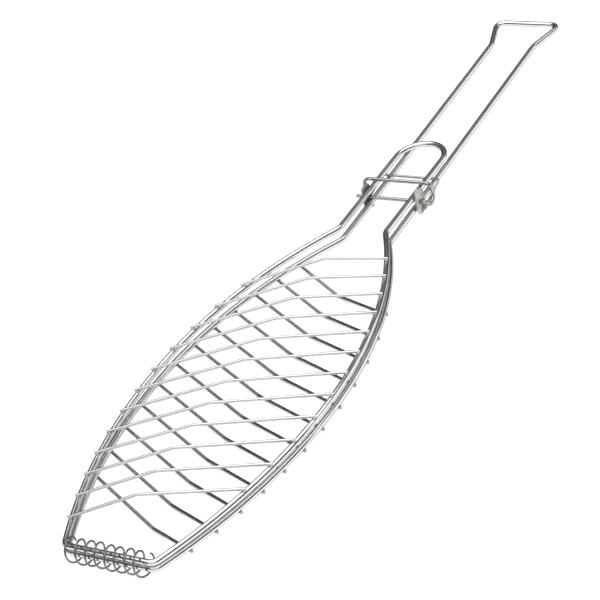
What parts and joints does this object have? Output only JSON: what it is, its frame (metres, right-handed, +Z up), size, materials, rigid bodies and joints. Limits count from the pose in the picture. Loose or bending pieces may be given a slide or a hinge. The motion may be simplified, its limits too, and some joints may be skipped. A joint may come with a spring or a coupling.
{
  "type": "grill basket",
  "caption": "Hinged wire grill basket that holds one whole fish between two slanted grids, with a sliding latch on a long loop handle.",
  "frame": {"origin": "under the middle of the overall length, on the plane that the lowest bends of the lower cross wires rest on", "axes": "+X from the tail hinge to the handle, +Y to the left side, +Z up through the closed basket"},
  "size_m": [0.5776, 0.134, 0.0332],
  "materials": {
    "frame_wire": "bright plated 4 mm round wire",
    "upper_cross_wire": "bright plated 2 mm round wire",
    "lower_cross_wire": "greyer plated 2 mm round wire",
    "coil_wire": "dull drawn 1.2 mm wire",
    "latch_wire": "satin drawn wire",
    "latch_plate": "galvanised sheet, matt"
  },
  "bodies": {
    "lower_half": {"lower_frame": "frame_wire", "lower_cross_wire_01": "lower_cross_wire", "lower_cross_wire_02": "lower_cross_wire", "lower_cross_wire_03": "lower_cross_wire", "lower_cross_wire_04": "lower_cross_wire", "lower_cross_wire_05": "lower_cross_wire", "lower_cross_wire_06": "lower_cross_wire", "lower_cross_wire_07": "lower_cross_wire", "lower_cross_wire_08": "lower_cross_wire", "lower_cross_wire_09": "lower_cross_wire", "lower_cross_wire_10": "lower_cross_wire", "lower_cross_wire_11": "lower_cross_wire", "lower_cross_wire_12": "lower_cross_wire", "hinge_coil": "coil_wire"},
    "upper_half": {"upper_frame": "frame_wire", "upper_cross_wire_01": "upper_cross_wire", "upper_cross_wire_02": "upper_cross_wire", "upper_cross_wire_03": "upper_cross_wire", "upper_cross_wire_04": "upper_cross_wire", "upper_cross_wire_05": "upper_cross_wire", "upper_cross_wire_06": "upper_cross_wire", "upper_cross_wire_07": "upper_cross_wire", "upper_cross_wire_08": "upper_cross_wire", "upper_cross_wire_09": "upper_cross_wire", "upper_cross_wire_10": "upper_cross_wire", "upper_cross_wire_11": "upper_cross_wire", "upper_cross_wire_12": "upper_cross_wire"},
    "latch": {"latch_plate_left": "latch_plate", "latch_plate_right": "latch_plate", "latch_ring": "latch_wire", "latch_spacer_wire": "latch_wire"}
  },
  "joints": [
    {"name": "basket_open", "type": "hinge", "parent": "lower_half", "child": "upper_half", "pos_m": [-0.28113, 0, 0.0172], "axis": [0, -1, 0], "range_deg": [0, 180]},
    {"name": "latch_slide", "type": "slide", "parent": "lower_half", "child": "latch", "axis": [0.9994, 0, 0.0349], "range_m": [0, 0.16]}
  ]
}
